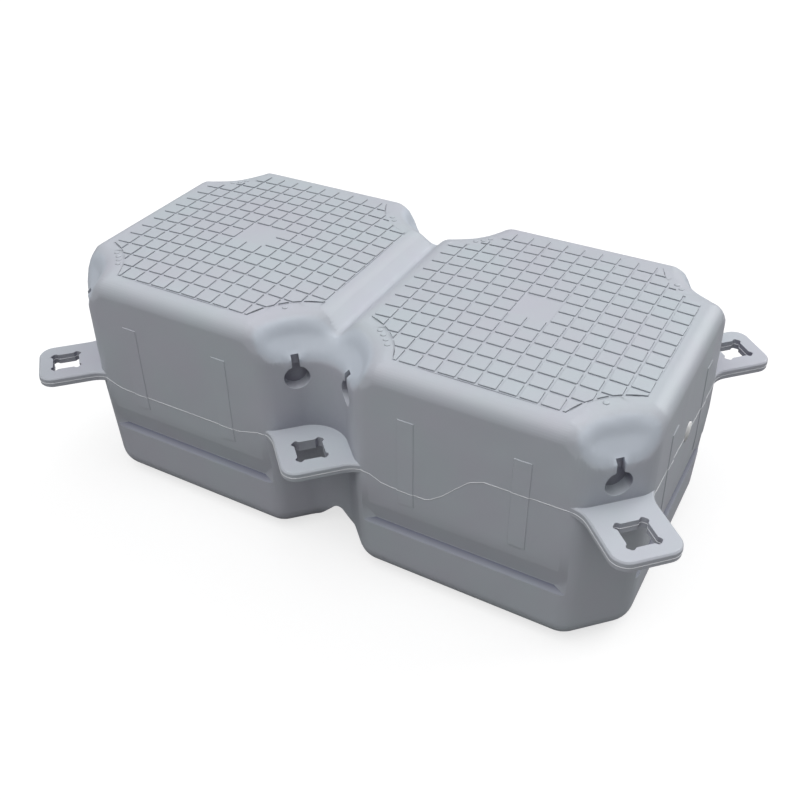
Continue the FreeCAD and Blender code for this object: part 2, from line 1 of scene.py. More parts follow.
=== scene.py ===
"""Floating dock module: two dock cells moulded as one hollow float, with a plug in its blow hole."""

import math

import bmesh
import bpy
from mathutils import Matrix, Vector, kdtree


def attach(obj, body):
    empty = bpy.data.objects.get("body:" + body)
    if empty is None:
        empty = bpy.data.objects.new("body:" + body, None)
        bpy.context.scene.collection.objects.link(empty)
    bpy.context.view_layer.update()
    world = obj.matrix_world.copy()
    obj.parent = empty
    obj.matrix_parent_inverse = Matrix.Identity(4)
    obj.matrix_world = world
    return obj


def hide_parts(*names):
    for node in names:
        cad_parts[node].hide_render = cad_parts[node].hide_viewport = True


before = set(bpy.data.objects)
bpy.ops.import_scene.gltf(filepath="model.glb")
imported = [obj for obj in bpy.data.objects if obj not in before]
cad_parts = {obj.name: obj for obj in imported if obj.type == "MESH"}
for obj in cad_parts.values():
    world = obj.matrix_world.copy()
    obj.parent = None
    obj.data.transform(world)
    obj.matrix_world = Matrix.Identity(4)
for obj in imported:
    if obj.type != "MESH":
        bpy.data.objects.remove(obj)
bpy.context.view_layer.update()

MM = 0.001
PITCH = 500 * MM
CORNER_LEVELS = {(-1, -1): 4, (1, -1): 1, (-1, 1): 3, (1, 1): 2}
DECK = 396.2 * MM
CROWN_RISE = 6.6 * MM
CROWN_RADIUS = 4000 * MM
TILES = 14
TILE_PITCH = 29.9 * MM
TILE_WIDTH = 26.0 * MM
TILE_HEIGHT = 2.0 * MM
TILE_GAP = 1.5 * MM
CLEARANCE = 130 * MM
DOT_RADIUS = 121.5 * MM
DOT_PITCH = 13 * MM
DOT_DIAMETER = 9 * MM
DOT_HEIGHT = 1.7 * MM
GROOVE_FLOOR = 116
GROOVE_FADE = 24
DISH_RADIUS = 100 * MM
DISH_CENTRE = 420 * MM
DISH_FADE = 5 * MM


# Small helpers
def linear(code):
    """An sRGB hex colour as the linear RGBA that a socket takes."""
    parts = [int(code[i:i + 2], 16) / 255 for i in (1, 3, 5)]
    return tuple(c / 12.92 if c <= 0.04045 else ((c + 0.055) / 1.055) ** 2.4 for c in parts) + (1.0,)


def node(tree, kind, settings=None, **sockets):
    """Adds a node, sets its properties, then its inputs to values or to other nodes' outputs."""
    made = tree.nodes.new(kind)
    for name, value in (settings or {}).items():
        setattr(made, name, value)
    for name, value in sockets.items():
        key = int(name[1:]) if name[0] == "i" and name[1:].isdigit() else name.replace("_", " ")
        socket = made.inputs[key]
        if isinstance(value, bpy.types.NodeSocket):
            tree.links.new(value, socket)
        else:
            socket.default_value = value
    return made


def new_material(name):
    material = bpy.data.materials.new(name)
    material.use_nodes = True
    material.node_tree.nodes.clear()
    return material, material.node_tree


def finished(name, mesh, slot, *replaced):
    """Links a mesh as a piece of the float."""
    piece = bpy.data.objects.new(name, mesh)
    bpy.context.scene.collection.objects.link(piece)
    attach(piece, "root")
    if replaced:
        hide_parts(*replaced)
    return piece


# Materials
def maths(tree, operation, *values):
    made = tree.nodes.new("ShaderNodeMath")
    made.operation = operation
    for socket, value in zip(made.inputs, values):
        if isinstance(value, bpy.types.NodeSocket):
            tree.links.new(value, socket)
        else:
            socket.default_value = value
    return made.outputs["Value"]


def moulded_polyethylene(name, pale, shade, recess_shade, flank_shade):
    """High-density polyethylene blown in a sand-blasted mould: satin, faintly grained, a little uneven in tone, with
    painted shade in deep recesses, in the ledge grooves and on steep flanks, and painted light in the dishes.
    """
    material, tree = new_material(name)
    place = node(tree, "ShaderNodeTexCoord").outputs["Object"]
    # Clouding about 120 mm across, as the pigment spreads
    cloud = node(tree, "ShaderNodeTexNoise", Vector=place, Scale=8.0, Detail=3.0, Roughness=0.55)
    tone = node(tree, "ShaderNodeMapRange", Value=cloud.outputs["Fac"], From_Min=0.35, From_Max=0.65)
    clear = node(
        tree, "ShaderNodeMix", {"data_type": "RGBA"}, i0=tone.outputs["Result"], i6=linear(shade), i7=linear(pale))
    # Painted shade: deep recesses, where the skin hides itself from the sky, are drawn darker and a little violet;
    # faces that look up are kept clear
    open_sky = node(tree, "ShaderNodeAmbientOcclusion", {"only_local": True, "samples": 8}, Distance=0.2)
    depth = node(tree, "ShaderNodeMapRange", Value=open_sky.outputs["AO"], From_Min=0.25, From_Max=0.78)
    facing = node(tree, "ShaderNodeNewGeometry").outputs["True Normal"]
    upward = node(tree, "ShaderNodeSeparateXYZ", Vector=facing).outputs["Z"]
    lit = node(tree, "ShaderNodeMapRange", Value=upward, From_Min=0.05, From_Max=0.55)
    open_or_lit = maths(tree, "MAXIMUM", depth.outputs["Result"], lit.outputs["Result"])
    shaded = node(
        tree, "ShaderNodeMix", {"data_type": "RGBA"}, i0=open_or_lit, i6=linear(recess_shade), i7=clear.outputs[2])
    # Painted light: the dishes are drawn paler and a little bluer, standing in for the light that falls into them
    dish = node(tree, "ShaderNodeAttribute", {"attribute_name": "dish_painted_light"})
    dish_lit = node(
        tree, "ShaderNodeMix", {"data_type": "RGBA"}, i0=dish.outputs["Fac"], i6=shaded.outputs[2],
        i7=linear("#cdd5e0"))
    # Painted shade: the ledge grooves are drawn a dark blue-grey that is deepest at their floor
    groove = node(tree, "ShaderNodeAttribute", {"attribute_name": "groove_depth"})
    groove_shaded = node(
        tree, "ShaderNodeMix", {"data_type": "RGBA"}, i0=groove.outputs["Fac"], i6=dish_lit.outputs[2],
        i7=linear("#74778c"))
    # Painted shade: where a flank colour is given, steep flanks are drawn darker than the faces that look up
    steep = node(tree, "ShaderNodeMapRange", Value=upward, From_Min=0.35, From_Max=0.85)
    colour = node(
        tree, "ShaderNodeMix", {"data_type": "RGBA"}, i0=steep.outputs["Result"], i7=groove_shaded.outputs[2])
    if flank_shade is None:
        tree.links.new(groove_shaded.outputs[2], colour.inputs[6])
    else:
        colour.inputs[6].default_value = linear(flank_shade)
    # Mould grain of about 1.5 mm, drawn coarser than its real 0.3 mm so that it shows
    grain = node(tree, "ShaderNodeTexNoise", Vector=place, Scale=650.0, Detail=2.0)
    swell = node(tree, "ShaderNodeTexNoise", Vector=place, Scale=14.0, Detail=1.0)
    fine = node(tree, "ShaderNodeBump", Strength=0.12, Distance=0.0004, Height=grain.outputs["Fac"])
    broad = node(tree, "ShaderNodeBump", Strength=0.35, Distance=0.004, Height=swell.outputs["Fac"], Normal=fine.outputs["Normal"])
    gloss = node(tree, "ShaderNodeMapRange", Value=grain.outputs["Fac"], To_Min=0.42, To_Max=0.52)
    skin = node(
        tree, "ShaderNodeBsdfPrincipled", Base_Color=colour.outputs[2], Roughness=gloss.outputs["Result"],
        IOR=1.54, Normal=broad.outputs["Normal"])
    node(tree, "ShaderNodeOutputMaterial", Surface=skin.outputs["BSDF"])
    return material


# The third colour of each plastic is the painted shade of deep recesses
shell_plastic = moulded_polyethylene("moulded_polyethylene_grey", "#c2c9d0", "#c3c5cf", "#868593", None)
# The tiles' fourth colour is painted shade on their steep flanks
tile_plastic = moulded_polyethylene("moulded_polyethylene_tiles", "#c2cad1", "#c3c6cf", "#c2c8cf", "#91969d")
flash_plastic = moulded_polyethylene("trimmed_mould_flash", "#e9ebee", "#e2e5e9", "#e9ebee", None)
plug_plastic = moulded_polyethylene("white_polyethylene_plug", "#ffffff", "#fbfbfb", "#ffffff", None)


# The float's skin: the CAD solid as one closed mesh, its panels flattened to take the tiles
def crown_level(x, y):
    """Height of a deck's crowned panel."""
    along = abs(x) - PITCH / 2
    return DECK + CROWN_RISE - (along * along + y * y) / 2 / CROWN_RADIUS


def in_panel(x, y):
    reach = TILES * TILE_PITCH / 2 + 0.5 * MM
    return abs(abs(x) - PITCH / 2) < reach and abs(y) < reach


def merged_copy(source):
    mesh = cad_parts[source].data.copy()
    mesh.materials.clear()
    work = bmesh.new()
    work.from_mesh(mesh)
    bmesh.ops.remove_doubles(work, verts=work.verts, dist=0.02 * MM)
    return mesh, work


def flats_joined(work):
    bmesh.ops.dissolve_limit(work, angle_limit=math.radians(0.3), verts=work.verts, edges=work.edges)


def closed(mesh, work, material):
    for face in work.faces:
        face.smooth = True
    work.to_mesh(mesh)
    work.free()
    mesh.materials.append(material)
    return mesh


def lug_axis(point):
    """The nearest lug axis, and how far from it a point is."""
    axes = [Vector((x * PITCH, y * PITCH / 2)) for x in (-1, 0, 1) for y in (-1, 1)]
    axis = min(axes, key=lambda place: (point.xy - place).length)
    return axis, (point.xy - axis).length


def hole_corners_rounded(work, nearest, furthest, radius, segments):
    """Rounds the upright corners of the lug holes that lie between two distances from the lug axis."""
    corners = []
    for edge in work.edges:
        along = edge.verts[1].co - edge.verts[0].co
        middle = (edge.verts[0].co + edge.verts[1].co) / 2
        upright = abs(along.z) > 0.98 * along.length and 5 * MM < along.length < 20 * MM
        if upright and 0.19 < middle.z < 0.29 and nearest < lug_axis(middle)[1] < furthest:
            corners.append(edge)
    bmesh.ops.bevel(
        work, geom=corners, offset=radius, offset_type="OFFSET", segments=segments, profile=0.5, affect="EDGES",
        clamp_overlap=True)


def in_dish_zone(point):
    return 326 * MM < point.z < 400 * MM and lug_axis(point)[1] < 117 * MM


def at_pocket(point):
    """Whether a point lies at the round pocket or the slot below a dish."""
    axis, _ = lug_axis(point)
    for way in (-1, 1):
        outward = Vector((way, -math.copysign(1, axis.y))) / math.sqrt(2)
        off = point.xy - axis
        ahead, aside = off.dot(outward), abs(off.x * outward.y - off.y * outward.x)
        if ahead > 30 * MM and (aside < 8 * MM and point.z < 352 * MM or aside < 22 * MM and point.z < 331 * MM):
            return True
    return False


def halved(edge):
    """Puts a corner in the middle of an edge and joins it across the triangles on both sides."""
    across = [(face, next(vert for vert in face.verts if vert not in edge.verts)) for face in edge.link_faces]
    _, middle = bmesh.utils.edge_split(edge, edge.verts[0], 0.5)
    for face, corner in across:
        bmesh.utils.face_split(face, middle, corner)


def dish_rims_softened(work, reach, grain):
    """Divides the skin finely round the dishes and evens out the edge where each one ends."""
    near = [face for face in work.faces if any(in_dish_zone(vert.co) for vert in face.verts)]
    bmesh.ops.triangulate(work, faces=near)
    for _ in range(12):
        long_edges = [
            edge for edge in work.edges if edge.calc_length() > grain and (
                in_dish_zone(edge.verts[0].co) or in_dish_zone(edge.verts[1].co))]
        if not long_edges:
            break
        for edge in sorted(long_edges, key=lambda item: -item.calc_length()):
            halved(edge)
    rim = set()
    for edge in work.edges:
        if len(edge.link_faces) == 2 and edge.calc_face_angle() > math.radians(9):
            for vert in edge.verts:
                if in_dish_zone(vert.co) and not at_pocket(vert.co):
                    rim.add(vert)
    tree = kdtree.KDTree(len(rim))
    for number, vert in enumerate(rim):
        tree.insert(vert.co, number)
    tree.balance()
    pulled = []
    for vert in work.verts:
        if in_dish_zone(vert.co) and not at_pocket(vert.co):
            pull = 1 - tree.find(vert.co)[2] / reach
            if pull > 0:
                pulled.append((vert, 0.6 * pull * pull * (3 - 2 * pull)))
    for _ in range(22):
        moved = []
        for vert, pull in pulled:
            others = [edge.other_vert(vert).co for edge in vert.link_edges]
            middle = sum(others, Vector((0, 0, 0))) / len(others)
            moved.append(vert.co.lerp(middle, pull))
        for (vert, _), place in zip(pulled, moved):
            vert.co = place


def crisp_edges_marked(work):
    """Gives the skin's crisp edges a bevel weight, and keeps those with no room for a bevel sharp."""
    weight = work.edges.layers.float.new("bevel_weight_edge")
    for edge in work.edges:
        if len(edge.link_faces) != 2 or edge.calc_face_angle() < math.radians(28):
            continue
        on_panel = all(vert.co.z > DECK - 0.1 * MM and in_panel(vert.co.x, vert.co.y) for vert in edge.verts)
        if on_panel or any(in_dish_zone(vert.co) and at_pocket(vert.co) for vert in edge.verts):
            edge.smooth = False
        elif not any(in_dish_zone(vert.co) for vert in edge.verts):
            edge[weight] = 1.0


def dishes_marked(work):
    """Writes where the skin lies on a dish's round, for the painted light in the dishes."""
    layer = work.loops.layers.float.new("dish_painted_light")
    for face in work.faces:
        if not any(in_dish_zone(vert.co) for vert in face.verts):
            continue
        for loop in face.loops:
            point = loop.vert.co
            axis, _ = lug_axis(point)
            off = (point - Vector((axis.x, axis.y, DISH_CENTRE))).length - DISH_RADIUS
            loop[layer] = 0.9 * min(max(1.5 - abs(off) / DISH_FADE, 0.0), 1.0)


def grooves_marked(work):
    """Writes how deep each corner of a groove's faces lies, for the painted shade in the grooves."""
    layer = work.loops.layers.float.new("groove_depth")
    for face in work.faces:
        heights = [vert.co.z for vert in face.verts]
        middle = face.calc_center_median()
        outside = max(abs(middle.x) / 497, abs(middle.y) / 247) > 0.96 * MM
        if min(heights) < 103 * MM or max(heights) > 150 * MM or abs(face.normal.z) < 0.12 or not outside:
            continue
        for loop in face.loops:
            z = loop.vert.co.z / MM
            if z > GROOVE_FLOOR - 2:
                loop[layer] = 1 - min(max((z - GROOVE_FLOOR) / GROOVE_FADE, 0.0), 1.0)
            else:
                loop[layer] = 0.45


shell_mesh, work = merged_copy("float_body")
for vert in work.verts:
    x, y, z = vert.co
    if z > DECK + 0.05 * MM and in_panel(x, y):
        vert.co.z = min(z, crown_level(x, y))
flats_joined(work)
hole_corners_rounded(work, 29 * MM, 34 * MM, 3.5 * MM, 3)
hole_corners_rounded(work, 20 * MM, 27 * MM, 1.0 * MM, 2)
dish_rims_softened(work, 19 * MM, 7 * MM)
crisp_edges_marked(work)
dishes_marked(work)
grooves_marked(work)
shell = finished("float_skin", closed(shell_mesh, work, shell_plastic), "shell", "float_body")
ease = shell.modifiers.new("edge_ease", "BEVEL")
ease.width = 0.7 * MM
ease.segments = 2
ease.limit_method = "WEIGHT"
ease.use_clamp_overlap = False
evenly = shell.modifiers.new("flat_faces_stay_flat", "WEIGHTED_NORMAL")
evenly.weight = 50
evenly.keep_sharp = True

plug_mesh, work = merged_copy("filler_plug")
flats_joined(work)
plug = finished("blow_hole_plug", closed(plug_mesh, work, plug_plastic), "plug", "filler_plug")


# Deck tiles: whole ones by a node tree, those that the dishes cut in mesh code
def node_tree(name, *inputs):
    """A geometry node tree with its named inputs, each with its socket kind and value."""
    tree = bpy.data.node_groups.new(name, "GeometryNodeTree")
    tree.interface.new_socket("Geometry", in_out="INPUT", socket_type="NodeSocketGeometry")
    for label, kind, value in inputs:
        socket = tree.interface.new_socket(label, in_out="INPUT", socket_type=kind)
        socket.default_value = value
    tree.interface.new_socket("Geometry", in_out="OUTPUT", socket_type="NodeSocketGeometry")
    return tree, node(tree, "NodeGroupInput").outputs


def grown(name, tree, base_mesh, inputs):
    """The mesh that a node tree grows on a base mesh, as a plain mesh."""
    carrier = bpy.data.objects.new(name + "_carrier", base_mesh)
    bpy.context.scene.collection.objects.link(carrier)
    modifier = carrier.modifiers.new(name, "NODES")
    modifier.node_group = tree
    for item in tree.interface.items_tree:
        if item.in_out == "INPUT" and item.name in inputs:
            modifier[item.identifier] = inputs[item.name]
    seen_now = bpy.context.evaluated_depsgraph_get()
    mesh = bpy.data.meshes.new_from_object(carrier.evaluated_get(seen_now))
    mesh.name = name
    carrier.modifiers.remove(modifier)
    bpy.data.objects.remove(carrier)
    return mesh


def tile_tree():
    tree, given = node_tree(
        "deck_tile_field",
        ("Tile Pitch", "NodeSocketFloat", 29.9 * MM), ("Tile Width", "NodeSocketFloat", 26.0 * MM),
        ("Tile Height", "NodeSocketFloat", 2.0 * MM), ("Tile Corner", "NodeSocketFloat", 1.6 * MM),
        ("Tiles per Side", "NodeSocketInt", 14), ("Bare Half Width", "NodeSocketFloat", 29.9 * MM),
        ("Cell Pitch", "NodeSocketFloat", 500 * MM), ("Corner Clearance", "NodeSocketFloat", 130 * MM),
        ("Crown Rise", "NodeSocketFloat", 6.6 * MM), ("Crown Radius", "NodeSocketFloat", 4.0),
        ("Deck Height", "NodeSocketFloat", 396.2 * MM), ("Plastic", "NodeSocketMaterial", None))
    pitch, width, height = given["Tile Pitch"], given["Tile Width"], given["Tile Height"]
    half_cell = maths(tree, "MULTIPLY", given["Cell Pitch"], 0.5)
    span = maths(tree, "MULTIPLY", pitch, maths(tree, "SUBTRACT", given["Tiles per Side"], 1.0))
    grid = node(
        tree, "GeometryNodeMeshGrid", Size_X=span, Size_Y=span,
        Vertices_X=given["Tiles per Side"], Vertices_Y=given["Tiles per Side"])
    place = node(tree, "GeometryNodeInputPosition").outputs["Position"]
    split = node(tree, "ShaderNodeSeparateXYZ", Vector=place).outputs
    x, y = split["X"], split["Y"]
    outward_x, outward_y = maths(tree, "ABSOLUTE", x), maths(tree, "ABSOLUTE", y)
    bare = maths(tree, "LESS_THAN", maths(tree, "MAXIMUM", outward_x, outward_y), given["Bare Half Width"])
    half = maths(tree, "MULTIPLY", width, 0.5)
    gap_x = maths(tree, "SUBTRACT", half_cell, maths(tree, "ADD", outward_x, half))
    gap_y = maths(tree, "SUBTRACT", half_cell, maths(tree, "ADD", outward_y, half))
    square = maths(tree, "ADD", maths(tree, "POWER", gap_x, 2.0), maths(tree, "POWER", gap_y, 2.0))
    cut = maths(tree, "LESS_THAN", maths(tree, "SQRT", square), given["Corner Clearance"])
    dropped = maths(tree, "GREATER_THAN", maths(tree, "ADD", bare, cut), 0.5)
    kept = node(
        tree, "GeometryNodeDeleteGeometry", {"domain": "POINT"}, Geometry=grid.outputs["Mesh"], Selection=dropped)
    fall = maths(tree, "DIVIDE", maths(
        tree, "ADD", maths(tree, "POWER", x, 2.0), maths(tree, "POWER", y, 2.0)), given["Crown Radius"])
    lift = maths(tree, "ADD", given["Deck Height"], maths(
        tree, "SUBTRACT", given["Crown Rise"], maths(tree, "MULTIPLY", fall, 0.5)))
    lifted = node(
        tree, "GeometryNodeSetPosition", Geometry=kept.outputs["Geometry"],
        Offset=node(tree, "ShaderNodeCombineXYZ", Z=lift).outputs["Vector"])
    outline = node(tree, "GeometryNodeCurvePrimitiveQuadrilateral", Width=width, Height=width)
    rounded = node(
        tree, "GeometryNodeFilletCurve", {"mode": "POLY"}, Curve=outline.outputs["Curve"],
        Radius=given["Tile Corner"], Count=3)
    filled = node(tree, "GeometryNodeFillCurve", {"mode": "NGONS"}, Curve=rounded.outputs["Curve"])
    sunk = node(
        tree, "GeometryNodeTransform", Geometry=filled.outputs["Mesh"],
        Translation=node(tree, "ShaderNodeCombineXYZ", Z=-0.4 * MM).outputs["Vector"])
    tall = maths(tree, "ADD", maths(tree, "MULTIPLY", height, 0.75), 0.4 * MM)
    wall = node(
        tree, "GeometryNodeExtrudeMesh", {"mode": "FACES"}, Mesh=sunk.outputs["Geometry"], Offset_Scale=tall)
    shoulder = node(
        tree, "GeometryNodeExtrudeMesh", {"mode": "FACES"}, Mesh=wall.outputs["Mesh"],
        Selection=wall.outputs["Top"], Offset_Scale=maths(tree, "MULTIPLY", height, 0.25))
    tile = node(
        tree, "GeometryNodeScaleElements", {"domain": "FACE"}, Geometry=shoulder.outputs["Mesh"],
        Selection=shoulder.outputs["Top"], Scale=0.965)
    underside = node(tree, "GeometryNodeFlipFaces", Mesh=sunk.outputs["Geometry"])
    parts = node(tree, "GeometryNodeJoinGeometry", Geometry=tile.outputs["Geometry"])
    tree.links.new(underside.outputs["Mesh"], parts.inputs["Geometry"])
    shut = node(tree, "GeometryNodeMergeByDistance", Geometry=parts.outputs["Geometry"], Distance=0.01 * MM)
    slope = node(
        tree, "ShaderNodeCombineXYZ", X=maths(tree, "DIVIDE", x, given["Crown Radius"]),
        Y=maths(tree, "DIVIDE", y, given["Crown Radius"]), Z=1.0)
    tilt = node(tree, "FunctionNodeAlignRotationToVector", {"axis": "Z"}, Vector=slope.outputs["Vector"])
    field = node(
        tree, "GeometryNodeInstanceOnPoints", Points=lifted.outputs["Geometry"],
        Instance=shut.outputs["Geometry"], Rotation=tilt.outputs["Rotation"])
    both = node(tree, "GeometryNodeJoinGeometry")
    for way in (-1.0, 1.0):
        shift = node(tree, "ShaderNodeCombineXYZ", X=maths(tree, "MULTIPLY", half_cell, way))
        moved = node(
            tree, "GeometryNodeTransform", Geometry=field.outputs["Instances"], Translation=shift.outputs["Vector"])
        tree.links.new(moved.outputs["Geometry"], both.inputs["Geometry"])
    real = node(tree, "GeometryNodeRealizeInstances", Geometry=both.outputs["Geometry"])
    painted = node(tree, "GeometryNodeSetMaterial", Geometry=real.outputs["Geometry"], Material=given["Plastic"])
    node(tree, "NodeGroupOutput", Geometry=painted.outputs["Geometry"])
    return tree


tile_mesh = grown("deck_tiles", tile_tree(), bpy.data.meshes.new("deck_tile_base"), {
    "Tile Pitch": TILE_PITCH, "Tile Width": TILE_WIDTH, "Tile Height": TILE_HEIGHT, "Tiles per Side": TILES,
    "Bare Half Width": TILE_PITCH, "Cell Pitch": PITCH, "Corner Clearance": CLEARANCE + TILE_GAP,
    "Crown Rise": CROWN_RISE, "Crown Radius": CROWN_RADIUS, "Deck Height": DECK, "Plastic": tile_plastic})
finished("deck_tiles", tile_mesh, "shell")


def outside_arc(centre_x, centre_y, axis_x, axis_y, half):
    """The outline of one square tile without what lies inside the arc about a lug axis."""
    steps = 13
    corners = [(-1, -1), (1, -1), (1, 1), (-1, 1)]
    outline = []
    for (ax, ay), (bx, by) in zip(corners, corners[1:] + corners[:1]):
        for step in range(steps):
            t = step / steps
            outline.append(Vector((centre_x + half * (ax + (bx - ax) * t), centre_y + half * (ay + (by - ay) * t))))
    axis = Vector((axis_x, axis_y))
    radius = CLEARANCE + TILE_GAP
    clear = [(point - axis).length >= radius for point in outline]
    if all(clear) or not any(clear):
        return []
    trimmed = []
    count = len(outline)
    for number in range(count):
        here, after = outline[number], outline[(number + 1) % count]
        if clear[number]:
            trimmed.append(here)
        if clear[number] != clear[(number + 1) % count]:
            low, high = 0.0, 1.0
            for _ in range(20):
                middle = (low + high) / 2
                inside = (here.lerp(after, middle) - axis).length < radius
                if inside == (not clear[number]):
                    low = middle
                else:
                    high = middle
            trimmed.append(here.lerp(after, (low + high) / 2))
            if clear[number]:
                leaving = trimmed[-1] - axis
                trimmed.append(None)
    gap = trimmed.index(None)
    ring = trimmed[gap + 1:] + trimmed[:gap]
    first, last = ring[-1] - axis, ring[0] - axis
    start, end = math.atan2(first.y, first.x), math.atan2(last.y, last.x)
    sweep = (end - start + math.pi) % (2 * math.pi) - math.pi
    parts = max(1, int(abs(sweep) * radius / (3 * MM)))
    for part in range(1, parts):
        angle = start + sweep * part / parts
        ring.append(axis + radius * Vector((math.cos(angle), math.sin(angle))))
    return ring


def cut_tiles():
    work = bmesh.new()
    half = TILE_WIDTH / 2
    offsets = [(number - (TILES - 1) / 2) * TILE_PITCH for number in range(TILES)]
    for cell in (-1, 1):
        for dx in offsets:
            for dy in offsets:
                x, y = cell * PITCH / 2 + dx, dy
                axis_x = cell * PITCH / 2 + math.copysign(PITCH / 2, dx)
                axis_y = math.copysign(PITCH / 2, dy)
                ring = outside_arc(x, y, axis_x, axis_y, half)
                if len(ring) < 3:
                    continue
                centre = sum(ring, Vector((0, 0))) / len(ring)
                reach = max((point - centre).length for point in ring)
                if reach < 3 * MM:
                    continue
                levels = [(-0.4 * MM, 0.0), (0.75 * TILE_HEIGHT, 0.1 * MM), (TILE_HEIGHT, 0.45 * MM)]
                loops = []
                for lift, inset in levels:
                    scale = 1 - inset / reach
                    loops.append([work.verts.new((
                        *(centre + (point - centre) * scale), crown_level(point.x, point.y) + lift)) for point in ring])
                count = len(ring)
                for below, above in zip(loops, loops[1:]):
                    for number in range(count):
                        after = (number + 1) % count
                        work.faces.new((below[number], below[after], above[after], above[number]))
                work.faces.new(loops[-1])
                work.faces.new(list(reversed(loops[0])))
    bmesh.ops.recalc_face_normals(work, faces=work.faces)
    mesh = bpy.data.meshes.new("deck_tiles_cut")
    work.to_mesh(mesh)
    work.free()
    mesh.materials.append(tile_plastic)
    return mesh


finished("deck_tiles_cut", cut_tiles(), "shell")


# Level dots beside the dishes: one to four, for the lug level of that corner of a cell
def dot_tree():
    tree, given = node_tree(
        "level_dots", ("Dot Diameter", "NodeSocketFloat", 9 * MM), ("Dot Height", "NodeSocketFloat", 1.7 * MM),
        ("Plastic", "NodeSocketMaterial", None))
    ball = node(
        tree, "GeometryNodeMeshUVSphere", Segments=14, Rings=8, Radius=maths(tree, "MULTIPLY", given["Dot Diameter"], 0.5))
    squat = maths(tree, "DIVIDE", given["Dot Height"], maths(tree, "MULTIPLY", given["Dot Diameter"], 0.5))
    flat = node(
        tree, "GeometryNodeTransform", Geometry=ball.outputs["Mesh"],
        Scale=node(tree, "ShaderNodeCombineXYZ", X=1.0, Y=1.0, Z=squat).outputs["Vector"])
    dots = node(tree, "GeometryNodeInstanceOnPoints", Points=given["Geometry"], Instance=flat.outputs["Geometry"])
    real = node(tree, "GeometryNodeRealizeInstances", Geometry=dots.outputs["Instances"])
    soft = node(tree, "GeometryNodeSetShadeSmooth", Geometry=real.outputs["Geometry"], Shade_Smooth=True)
    painted = node(tree, "GeometryNodeSetMaterial", Geometry=soft.outputs["Geometry"], Material=given["Plastic"])
    node(tree, "NodeGroupOutput", Geometry=painted.outputs["Geometry"])
    return tree


places = []
for cell in (-1, 1):
    for (along, across), level in CORNER_LEVELS.items():
        axis_x, axis_y = (cell + along) * PITCH / 2, across * PITCH / 2
        for number in range(level):
            angle = math.atan2(-across, -along) + (number - (level - 1) / 2) * DOT_PITCH / DOT_RADIUS
            places.append((axis_x + DOT_RADIUS * math.cos(angle), axis_y + DOT_RADIUS * math.sin(angle), DECK))
dot_base = bpy.data.meshes.new("level_dot_places")
dot_base.from_pydata(places, [], [])
dot_mesh = grown("level_dots", dot_tree(), dot_base, {
    "Dot Diameter": DOT_DIAMETER, "Dot Height": DOT_HEIGHT, "Plastic": tile_plastic})
finished("level_dots", dot_mesh, "shell")


# Mould line: the thin ridge where the halves of the mould met, on the walls and round the lugs
FRONT_LINE = [(-500, 209), (-420, 209), (-370, 198), (-140, 198), (-100, 209), (100, 209), (130, 198), (190, 198),
              (285, 268), (400, 269), (500, 269)]
BACK_LINE = [(-500, 229), (140, 229), (320, 249), (500, 249)]


def smooth(t):
    t = min(max(t, 0.0), 1.0)
    return t * t * (3 - 2 * t)


def along_line(line, x):
    x = min(max(x, line[0][0] * MM), line[-1][0] * MM)
    for (x0, z0), (x1, z1) in zip(line, line[1:]):
        if x <= x1 * MM:
            return (z0 + (z1 - z0) * smooth((x / MM - x0) / (x1 - x0))) * MM
    return line[-1][1] * MM


def line_level(x, y):
    rear = smooth((y / MM + 170) / 340)
    return along_line(FRONT_LINE, x) * (1 - rear) + along_line(BACK_LINE, x) * rear


def mould_line():
    work = bmesh.new()
    work.from_mesh(shell_mesh)
    low_z, high_z = 0.15, 0.31
    for height in (low_z, high_z):
        bmesh.ops.bisect_plane(
            work, geom=work.verts[:] + work.edges[:] + work.faces[:], plane_co=(0, 0, height), plane_no=(0, 0, 1),
            clear_inner=height == low_z, clear_outer=height == high_z)
    for axis, count in ((0, 55), (1, 30)):
        normal = [1.0 if number == axis else 0.0 for number in range(3)]
        for step in range(-count // 2, count // 2 + 1):
            place = [step * 20.3 * MM if number == axis else 0.0 for number in range(3)]
            bmesh.ops.bisect_plane(
                work, geom=work.verts[:] + work.edges[:] + work.faces[:], plane_co=place, plane_no=normal)
    for vert in work.verts:
        vert.co.z -= line_level(vert.co.x, vert.co.y)
    cut = bmesh.ops.bisect_plane(
        work, geom=work.verts[:] + work.edges[:] + work.faces[:], plane_co=(0, 0, 0), plane_no=(0, 0, 1))
    edges = [item for item in cut["geom_cut"] if isinstance(item, bmesh.types.BMEdge)]
    links = {}
    for edge in edges:
        a, b = edge.verts
        links.setdefault(a, []).append(b)
        links.setdefault(b, []).append(a)
    loops, done = [], set()
    for start in links:
        if start in done:
            continue
        loop, here = [start], start
        done.add(start)
        while True:
            further = [v for v in links[here] if v not in done]
            if not further:
                break
            here = further[0]
            done.add(here)
            loop.append(here)
        points = []
        for vert in loop:
            normal = sum((face.normal for face in vert.link_faces), Vector((0, 0, 0)))
            place = Vector((vert.co.x, vert.co.y, vert.co.z + line_level(vert.co.x, vert.co.y)))
            if not points or (place - points[-1][0]).length > 0.8 * MM:
                points.append((place, Vector((normal.x, normal.y, 0)).normalized()))
        loops.append(points)
    work.free()
    return [points for points in loops if len(points) > 8]


